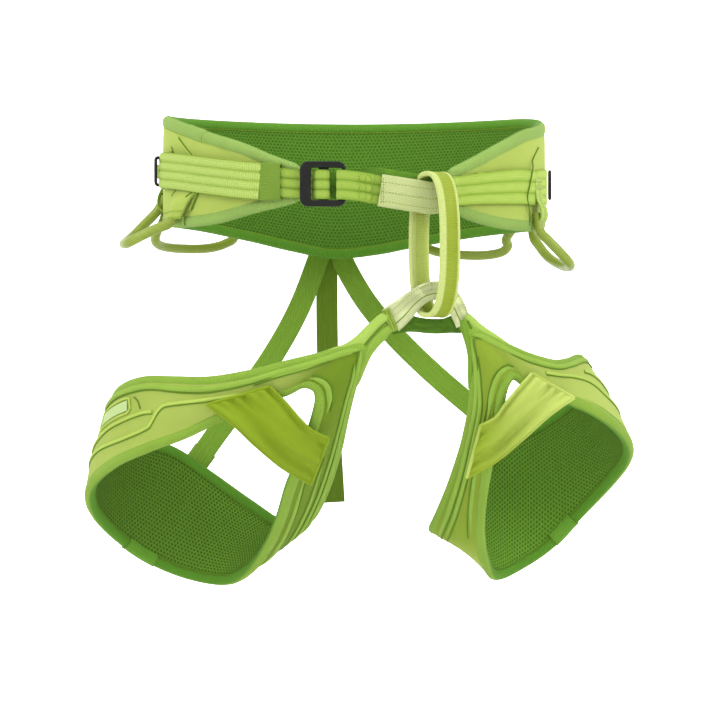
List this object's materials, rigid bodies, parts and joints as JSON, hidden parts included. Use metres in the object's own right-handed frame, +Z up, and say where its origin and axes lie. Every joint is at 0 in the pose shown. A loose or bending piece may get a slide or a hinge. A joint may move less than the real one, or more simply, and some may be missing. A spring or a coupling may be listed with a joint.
{
  "type": "climbing sit harness",
  "caption": "Climbing sit harness: padded waist belt with sliding-bar buckle, tie-in webbing, belay loop, gear loops, and padded leg loops on a front bridge and elastic rear risers.",
  "frame": {"origin": "middle of the waist opening, level with the load webbing at the hips", "axes": "+Z up, -Y to the wearer's front, +X to the right of someone who looks at the front"},
  "size_m": [0.4393, 0.2401, 0.3846],
  "materials": {
    "spacer_mesh": "open knitted spacer mesh",
    "foam": "closed-cell foam, matt",
    "shell_fabric": "fine woven polyester with a soft sheen",
    "edge_binding": "ribbed binding tape",
    "webbing": "ribbed woven polyester webbing",
    "protector": "dense matt woven abrasion cover",
    "belay_webbing": "tight woven webbing with paler edges",
    "elastic": "knitted elastic",
    "stretch_fabric": "smooth stretch knit, wrinkled",
    "riser_webbing": "flat elastic webbing",
    "gear_tube": "semi-gloss plastic tube over cord",
    "black_metal": "black anodised, satin",
    "black_plastic": "fine matt moulding"
  },
  "bodies": {
    "waist": {"waist_mesh_lining": "spacer_mesh", "waist_foam_pad": "foam", "waist_outer_shell": "shell_fabric", "waist_edge_binding": "edge_binding", "waist_load_webbing": "webbing", "adjust_webbing_standing": "webbing", "adjust_webbing_tail": "webbing", "tail_sleeve": "webbing", "tie_in_webbing": "webbing", "tie_in_protector": "protector", "gear_tab_left_front": "webbing", "gear_tab_left_middle": "webbing", "gear_tab_left_rear": "webbing", "gear_tab_right_front": "webbing", "gear_tab_right_middle": "webbing", "gear_tab_right_rear": "webbing", "bridge_webbing": "protector", "bridge_closing_strap": "edge_binding", "riser_buckle": "black_plastic", "riser_buckle_tab": "webbing", "riser_left": "riser_webbing", "riser_right": "riser_webbing"},
    "buckle": {"buckle_frame": "black_metal", "adjust_webbing_wrap": "webbing"},
    "slide_bar": {"buckle_slide_bar": "black_metal"},
    "keeper": {"webbing_keeper": "elastic"},
    "belay": {"belay_loop": "belay_webbing"},
    "gear_front_left": {"gear_loop_front_left": "gear_tube"},
    "gear_rear_left": {"gear_loop_rear_left": "gear_tube"},
    "gear_front_right": {"gear_loop_front_right": "gear_tube"},
    "gear_rear_right": {"gear_loop_rear_right": "gear_tube"},
    "ring_left": {"side_ring_left": "black_plastic"},
    "ring_right": {"side_ring_right": "black_plastic"},
    "riser_tail": {"riser_tail": "riser_webbing"},
    "leg_left": {"leg_left_mesh_padding": "spacer_mesh", "leg_left_load_webbing": "webbing", "leg_left_outer_shell": "shell_fabric", "leg_left_upper_binding": "edge_binding", "leg_left_lower_binding": "edge_binding", "leg_left_elastic_panel": "stretch_fabric", "leg_left_arm_webbing": "edge_binding", "leg_left_riser_tab": "edge_binding", "leg_left_label": "protector"},
    "leg_right": {"leg_right_mesh_padding": "spacer_mesh", "leg_right_load_webbing": "webbing", "leg_right_outer_shell": "shell_fabric", "leg_right_upper_binding": "edge_binding", "leg_right_lower_binding": "edge_binding", "leg_right_elastic_panel": "stretch_fabric", "leg_right_arm_webbing": "edge_binding", "leg_right_riser_tab": "edge_binding"}
  },
  "joints": [
    {"name": "leg_left_swing", "type": "hinge", "parent": "waist", "child": "leg_left", "pos_m": [0.029, -0.098, -0.112], "axis": [1, 0, 0], "range_deg": [-12, 25], "stiffness_Nm_per_rad": 1.2, "springref_deg": 3.44, "deforming": ["riser_left"]},
    {"name": "leg_right_swing", "type": "hinge", "parent": "waist", "child": "leg_right", "pos_m": [0.0815, -0.098, -0.1095], "axis": [1, 0, 0], "range_deg": [-12, 25], "stiffness_Nm_per_rad": 1.2, "springref_deg": 2.86, "deforming": ["riser_right"]},
    {"name": "belay_loop_turn", "type": "hinge", "parent": "waist", "child": "belay", "pos_m": [0.0616, -0.099, -0.0538], "axis": [0, 0, 1], "range_deg": [-35, 0]},
    {"name": "buckle_tilt", "type": "hinge", "parent": "waist", "child": "buckle", "pos_m": [-0.0075, -0.1072, -0.008], "axis": [0, 0, 1], "range_deg": [0, 18]},
    {"name": "slide_bar_travel", "type": "slide", "parent": "buckle", "child": "slide_bar", "axis": [1, 0, 0], "range_m": [-0.0012, 0.0004]},
    {"name": "keeper_slide", "type": "slide", "parent": "waist", "child": "keeper", "axis": [0.9539, -0.287, -0.088], "range_m": [-0.003, 0.0045]},
    {"name": "gear_front_left_flex", "type": "hinge", "parent": "waist", "child": "gear_front_left", "pos_m": [-0.1515, -0.0135, -0.028], "axis": [-0.19, 0.9651, 0.18], "range_deg": [-10, 30], "stiffness_Nm_per_rad": 0.4},
    {"name": "gear_rear_left_flex", "type": "hinge", "parent": "waist", "child": "gear_rear_left", "pos_m": [-0.128, 0.0655, -0.036], "axis": [0.6498, 0.7548, -0.09], "range_deg": [-10, 30], "stiffness_Nm_per_rad": 0.4},
    {"name": "gear_front_right_flex", "type": "hinge", "parent": "waist", "child": "gear_front_right", "pos_m": [0.147, -0.001, -0.0415], "axis": [0, -1, 0], "range_deg": [-10, 30], "stiffness_Nm_per_rad": 0.4},
    {"name": "gear_rear_right_flex", "type": "hinge", "parent": "waist", "child": "gear_rear_right", "pos_m": [0.092, 0.088, -0.0425], "axis": [0.9, -0.436, 0], "range_deg": [-10, 30], "stiffness_Nm_per_rad": 0.4},
    {"name": "ring_left_fold", "type": "hinge", "parent": "waist", "child": "ring_left", "pos_m": [-0.1527, -0.0253, 0.007], "axis": [0, 0, 1], "range_deg": [-80, 0]},
    {"name": "ring_right_fold", "type": "hinge", "parent": "waist", "child": "ring_right", "pos_m": [0.1561, -0.0049, -0.002], "axis": [0, 0, 1], "range_deg": [-80, 0]},
    {"name": "riser_tail_swing", "type": "hinge", "parent": "waist", "child": "riser_tail", "pos_m": [-0.023, 0.1194, -0.036], "axis": [1, 0, 0], "range_deg": [-3, 40]}
  ]
}
